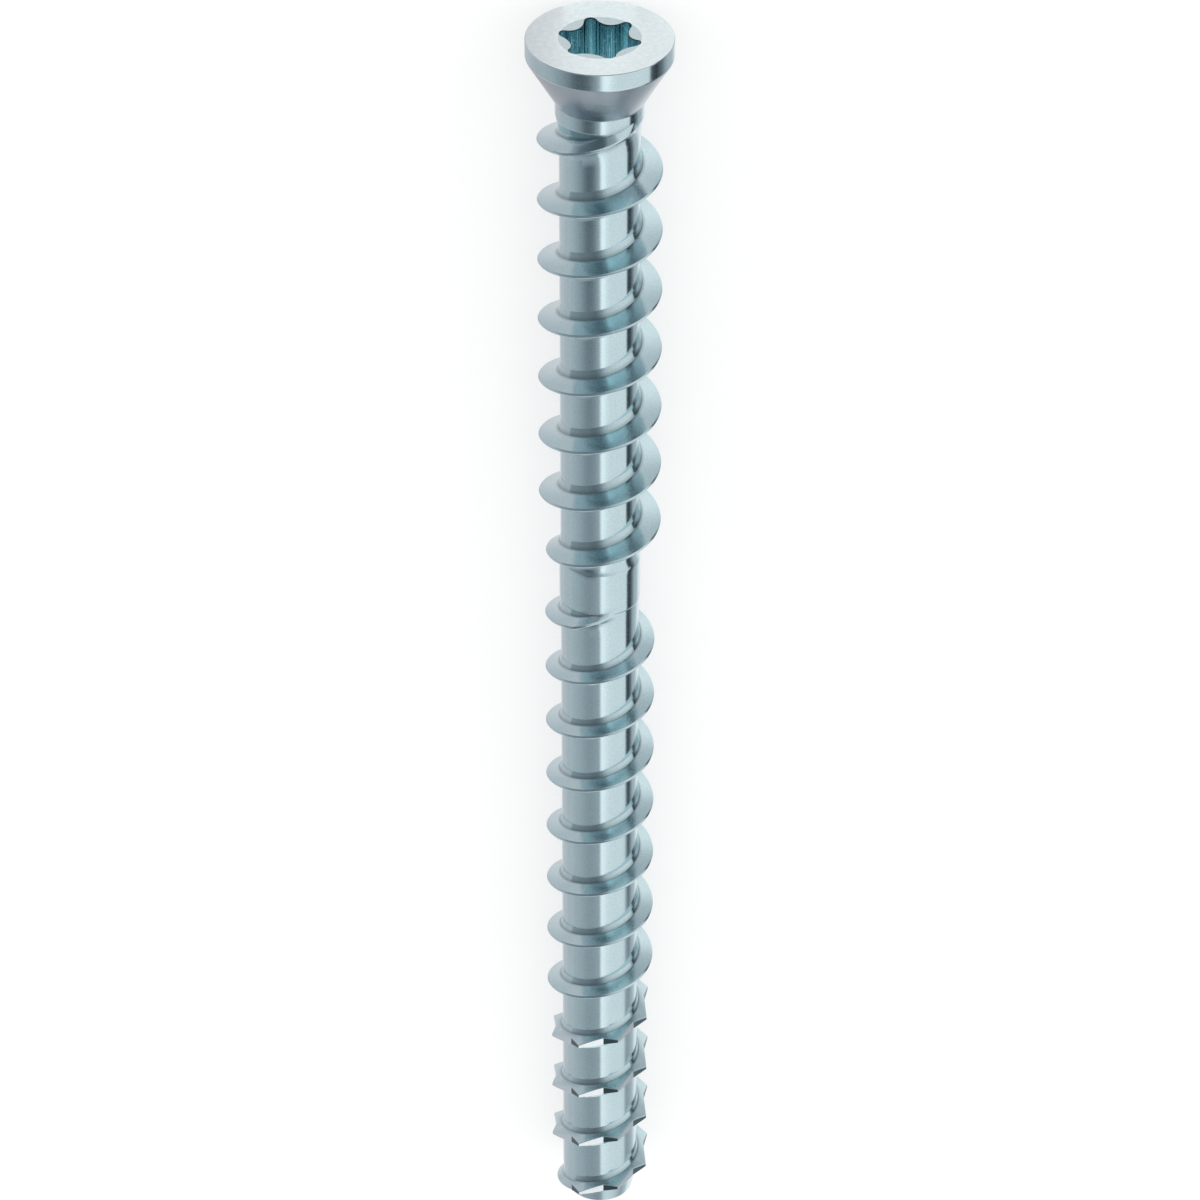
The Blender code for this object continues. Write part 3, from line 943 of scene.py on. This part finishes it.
# A light tent that shows in reflections only: an arch of strips along the screw, and a
# board on the floor at each side of it. Each row of the arch starts with the angle round
# the screw from straight up, positive at the picture's right, and each row of a board with
# the distance from the screw. Four levels follow, of which 1 is white: behind the head, at
# the head, at the tip and ahead of the tip. A fade gives, for places along the screw, how
# far one level has given way to another.
tent = {
    "radius": 300.0,
    "from": -300.0,
    "to": 900.0,
    "step": 5.0,
    "boardHeight": 0.3,
    "slant": 0.7,
    "arch": [
        (-95, 0.36, 0.50, 0.56, 0.46), (-83, 0.32, 0.50, 0.52, 0.44), (-62, 0.26, 0.37, 0.47, 0.42),
        (-50, 0.23, 0.27, 0.43, 0.40), (-42, 0.22, 0.18, 0.40, 0.38), (-34, 0.20, 0.125, 0.385, 0.36),
        (-25, 0.18, 0.13, 0.385, 0.34), (-17, 0.18, 0.18, 0.40, 0.33), (-9, 0.24, 0.32, 0.42, 0.33),
        (-4, 0.30, 0.42, 0.43, 0.34), (-1, 0.38, 0.52, 0.48, 0.35), (3, 0.48, 0.95, 0.98, 0.38),
        (7, 0.55, 1.16, 1.10, 0.45), (13, 0.64, 1.10, 1.03, 0.60), (20, 0.68, 0.92, 0.95, 0.75),
        (30, 0.74, 0.84, 0.88, 0.80), (50, 0.82, 0.85, 0.85, 0.80), (68, 0.82, 0.85, 0.86, 0.72),
        (81.5, 0.78, 0.84, 0.80, 0.62), (85, 0.74, 0.15, 0.55, 0.56), (87, 0.70, 0.08, 0.46, 0.54),
        (95, 0.66, 0.05, 0.40, 0.52),
    ],
    "leftBoard": [
        (2.5, 0.72, 0.74, 0.76, 0.80), (4.5, 0.64, 0.70, 0.72, 0.76), (5.6, 0.56, 0.62, 0.64, 0.73),
        (6.5, 0.50, 0.57, 0.58, 0.70), (9.0, 0.46, 0.59, 0.62, 0.68), (12.0, 0.42, 0.56, 0.57, 0.65),
        (20.0, 0.38, 0.52, 0.56, 0.62), (60.0, 0.35, 0.52, 0.56, 0.62), (300.0, 0.35, 0.52, 0.56, 0.62),
    ],
    "rightBoard": [
        (2.5, 0.80, 0.80, 0.80, 0.72), (4.5, 0.95, 0.95, 0.95, 0.70), (5.6, 1.0, 0.96, 0.98, 0.66),
        (6.5, 0.92, 0.88, 0.96, 0.63), (7.5, 0.85, 0.78, 0.88, 0.60), (8.3, 0.80, 0.66, 0.78, 0.57),
        (9.5, 0.76, 0.56, 0.64, 0.56), (11.0, 0.72, 0.54, 0.58, 0.55), (13.0, 0.68, 0.53, 0.54, 0.55),
        (16.0, 0.66, 0.42, 0.50, 0.55), (23.0, 0.66, 0.20, 0.45, 0.55), (40.0, 0.66, 0.09, 0.42, 0.56),
        (61.0, 0.66, 0.05, 0.40, 0.58), (300.0, 0.66, 0.05, 0.40, 0.58),
    ],
    "archStep": 2.0,
    "boardRows": 70,
    "rightFrom": 60.0,
    "endBoard": 0.34,
    "endShares": [0.0, 0.3, 0.5, 0.7, 0.85, 1.0],
    "endPower": 4,
    "frontBoard": 0.2,
    "frontFrom": 60.0,
    "frontHalf": 2.5,
    "behindFade": [(-135, 1.0), (-95, 0.0)],
    "aheadFade": [(90, 0.0), (150, 1.0)],
    "leftFade": [(-79, 0.0), (-58, 0.17), (-43, 0.43), (-29, 0.65), (-5, 0.83), (7, 0.91), (47, 1.0)],
    "rightFade": [(14, 0.0), (36, 1.0)],
    "leftRed": 1.06,
    "rightRed": 1.0,
    "coolShare": 0.15,
    "coolPower": 1.5,
}


def cool(level, red):
    # A grey that loses some red and gains as much blue as it darkens: a share of it, times a
    # power of how far it is from white. Its red can be raised as well.
    dark = 1.0 - np.clip(level, 0.0, 1.0)
    shift = tent["coolShare"] * dark ** tent["coolPower"]
    tint = [red * (1.0 - shift), 1.0 + 0 * dark, 1.0 + shift, 1.0 + 0 * dark]
    return np.stack([level * part for part in tint], axis=-1)


def buildCard(name, points, color):
    # A grid of points with a glowing colour at each. It shows in reflections, and neither
    # to the camera nor as light or shadow.
    rows, across = points.shape[:2]
    quads = gridCells(np.arange(rows * across).reshape(rows, across))
    mesh = bpy.data.meshes.new(name)
    mesh.from_pydata((points * mm).reshape(-1, 3).tolist(), [], quads.tolist())
    glow = mesh.color_attributes.new(name="glow", type="FLOAT_COLOR", domain="POINT")
    glow.data.foreach_set("color", color.astype(np.float32).ravel())
    material = bpy.data.materials.new(name)
    material.use_nodes = True
    tree = material.node_tree
    tree.nodes.clear()
    nodes = Nodes(tree)
    output = tree.nodes.new("ShaderNodeOutputMaterial")
    light = tree.nodes.new("ShaderNodeEmission")
    layer = tree.nodes.new("ShaderNodeAttribute")
    layer.attribute_name = "glow"
    nodes.join(layer.outputs["Color"], light.inputs["Color"])
    nodes.join(light.outputs["Emission"], output.inputs["Surface"])
    material.cycles.emission_sampling = "NONE"
    mesh.materials.append(material)
    card = bpy.data.objects.new(name, mesh)
    bpy.context.scene.collection.objects.link(card)
    card.visible_camera = False
    card.visible_diffuse = False
    card.visible_shadow = False
    card.visible_transmission = False
    card.visible_volume_scatter = False


def levelAt(rows, place, along, away, table):
    # The level seen in the tent: the rows read at a place, at the head and at the tip, and
    # mixed by where a reflection seen there starts from. That is a slant back along the
    # screw for each step outwards. Far behind the head and far ahead of the tip the other
    # two levels take over.
    spots, behind, head, tip, ahead = np.transpose(rows)
    start = along - tent["slant"] * away
    share = np.interp(start, *np.transpose(table))
    level = np.interp(place, spots, head) * (1 - share) + np.interp(place, spots, tip) * share
    back = np.interp(start, *np.transpose(tent["behindFade"]))
    level = level * (1 - back) + np.interp(place, spots, behind) * back
    front = np.interp(start, *np.transpose(tent["aheadFade"]))
    return level * (1 - front) + np.interp(place, spots, ahead) * front


def gridPoints(along, side, height):
    # A grid of points in the studio: along the screw, to the picture's right, and up.
    return np.stack(np.broadcast_arrays(along, side, height), axis=-1)


def archPoints(along, out, around):
    # Points at an angle and a distance round the top of the lying screw's head, and no
    # lower than the boards.
    a = np.radians(around)
    height = np.maximum(headRadius + out * np.cos(a), tent["boardHeight"])
    return gridPoints(along, out * np.sin(a), height)


def buildTent():
    # The arch, the wall behind the head, the two boards and the strip between them.
    along = np.arange(tent["from"], tent["to"] + 1, tent["step"])[None, :]
    arch = np.array(tent["arch"])
    evenSteps = np.arange(arch[0, 0], arch[-1, 0], tent["archStep"])
    around = np.unique(np.concatenate([evenSteps, arch[:, 0]]))[:, None]

    # the arch of strips: its right quarter fades as the right board does
    leftLevel = levelAt(tent["arch"], around, along, tent["radius"], tent["leftFade"])
    rightLevel = levelAt(tent["arch"], around, along, tent["radius"], tent["rightFade"])
    level = np.where(around < tent["rightFrom"], leftLevel, rightLevel)
    buildCard("stripArch", archPoints(along, tent["radius"], around), cool(level, 1.0))

    # the end behind the head, which turns from the arch's own levels to one in its middle
    share = np.array([tent["endShares"]])
    behind = np.interp(around, arch[:, 0], arch[:, 1])
    level = tent["endBoard"] + (behind - tent["endBoard"]) * share ** tent["endPower"]
    buildCard("stripEnd", archPoints(tent["from"], tent["radius"] * share, around), cool(level, 1.0))

    # the boards on the floor
    for name, side, red in (("leftBoard", -1.0, "leftRed"), ("rightBoard", 1.0, "rightRed")):
        away = np.array(tent[name])[:, 0]
        out = np.geomspace(away[0], away[-1], tent["boardRows"])[:, None]
        table = tent["leftFade"] if side < 0 else tent["rightFade"]
        level = levelAt(tent[name], out, along, out, table)
        buildCard(name, gridPoints(along, side * out, tent["boardHeight"]), cool(level, tent[red]))

    # and the strip between them, past the tip
    ahead = np.array([[tent["frontFrom"], tent["to"]]])
    side = np.array([[-tent["frontHalf"]], [tent["frontHalf"]]])
    level = tent["frontBoard"] + 0 * (ahead + side)
    buildCard("frontBoard", gridPoints(ahead, side, tent["boardHeight"]), cool(level, 1.0))


def buildFloor():
    # A pale floor. Part of its light is its own, seen directly and in reflections, so that
    # the screw's shadow stays faint.
    half = studio["floorSize"] / 2
    corners = np.array([(-half, -half, 0), (half, -half, 0), (half, half, 0), (-half, half, 0)])
    mesh = bpy.data.meshes.new("floor")
    mesh.from_pydata(corners.tolist(), [], [(0, 1, 2, 3)])
    material = bpy.data.materials.new("paleFloor")
    material.use_nodes = True
    tree = material.node_tree
    nodes = Nodes(tree)
    shader = tree.nodes["Principled BSDF"]
    shader.inputs["Base Color"].default_value = (*studio["floorColor"], 1.0)
    shader.inputs["Roughness"].default_value = studio["floorRoughness"]
    shader.inputs["Specular IOR Level"].default_value = 0.0
    shader.inputs["Emission Color"].default_value = (1.0, 1.0, 1.0, 1.0)
    rays = tree.nodes.new("ShaderNodeLightPath")
    seen = nodes.math("MAXIMUM", rays.outputs["Is Camera Ray"], rays.outputs["Is Glossy Ray"])
    seen = nodes.math("MAXIMUM", seen, rays.outputs["Is Transmission Ray"])
    nodes.join(nodes.math("MULTIPLY", seen, studio["floorGlow"]), shader.inputs["Emission Strength"])
    material.cycles.emission_sampling = "NONE"
    mesh.materials.append(material)
    floor = bpy.data.objects.new("floor", mesh)
    bpy.context.scene.collection.objects.link(floor)


def buildSky():
    # An even white sky is the only lamp.
    world = bpy.data.worlds.new("studioSky")
    bpy.context.scene.world = world
    world.use_nodes = True
    plain = world.node_tree.nodes["Background"]
    plain.inputs["Color"].default_value = (1.0, 1.0, 1.0, 1.0)
    plain.inputs["Strength"].default_value = studio["skyStrength"]


buildFloor()
buildTent()
buildSky()
bpy.context.scene.view_settings.view_transform = "Standard"
print("studio built")

# camera: beyond the head and above it, looking back down at the screw, its head uppermost
cameraView = {
    "elevation": 35.0576,
    "place": (0.0415, -345.363, 196.446),
    "focalPixels": 5924.6,
    "framePixels": 1200.0,
    "shiftPixels": 0.5,
    "sensorWidth": 36.0,
    "nearest": 0.01,
    "farthest": 20.0,
}


def buildCamera():
    # Placed in the screw's own axes and carried along as the screw is laid down. It looks
    # across the screw's middle, tipped down by the elevation, and its columns are the
    # picture's right, its up and the way back from what it sees.
    down = math.radians(cameraView["elevation"])
    look = (0.0, math.cos(down), -math.sin(down))
    up = (0.0, math.sin(down), math.cos(down))
    x, y, z = (value * mm for value in cameraView["place"])
    local = Matrix((
        (1.0, up[0], -look[0], x),
        (0.0, up[1], -look[1], y),
        (0.0, up[2], -look[2], z),
        (0.0, 0.0, 0.0, 1.0),
    ))
    lens = bpy.data.cameras.new("camera")
    lens.sensor_width = cameraView["sensorWidth"]
    lens.lens = cameraView["focalPixels"] / cameraView["framePixels"] * cameraView["sensorWidth"]
    lens.clip_start = cameraView["nearest"]
    lens.clip_end = cameraView["farthest"]
    lens.shift_x = -cameraView["shiftPixels"] / cameraView["framePixels"]
    lens.shift_y = cameraView["shiftPixels"] / cameraView["framePixels"]
    camera = bpy.data.objects.new("camera", lens)
    bpy.context.scene.collection.objects.link(camera)
    camera.matrix_world = resting @ local
    bpy.context.scene.camera = camera


buildCamera()
print("camera set")

bpy.context.view_layer.update()
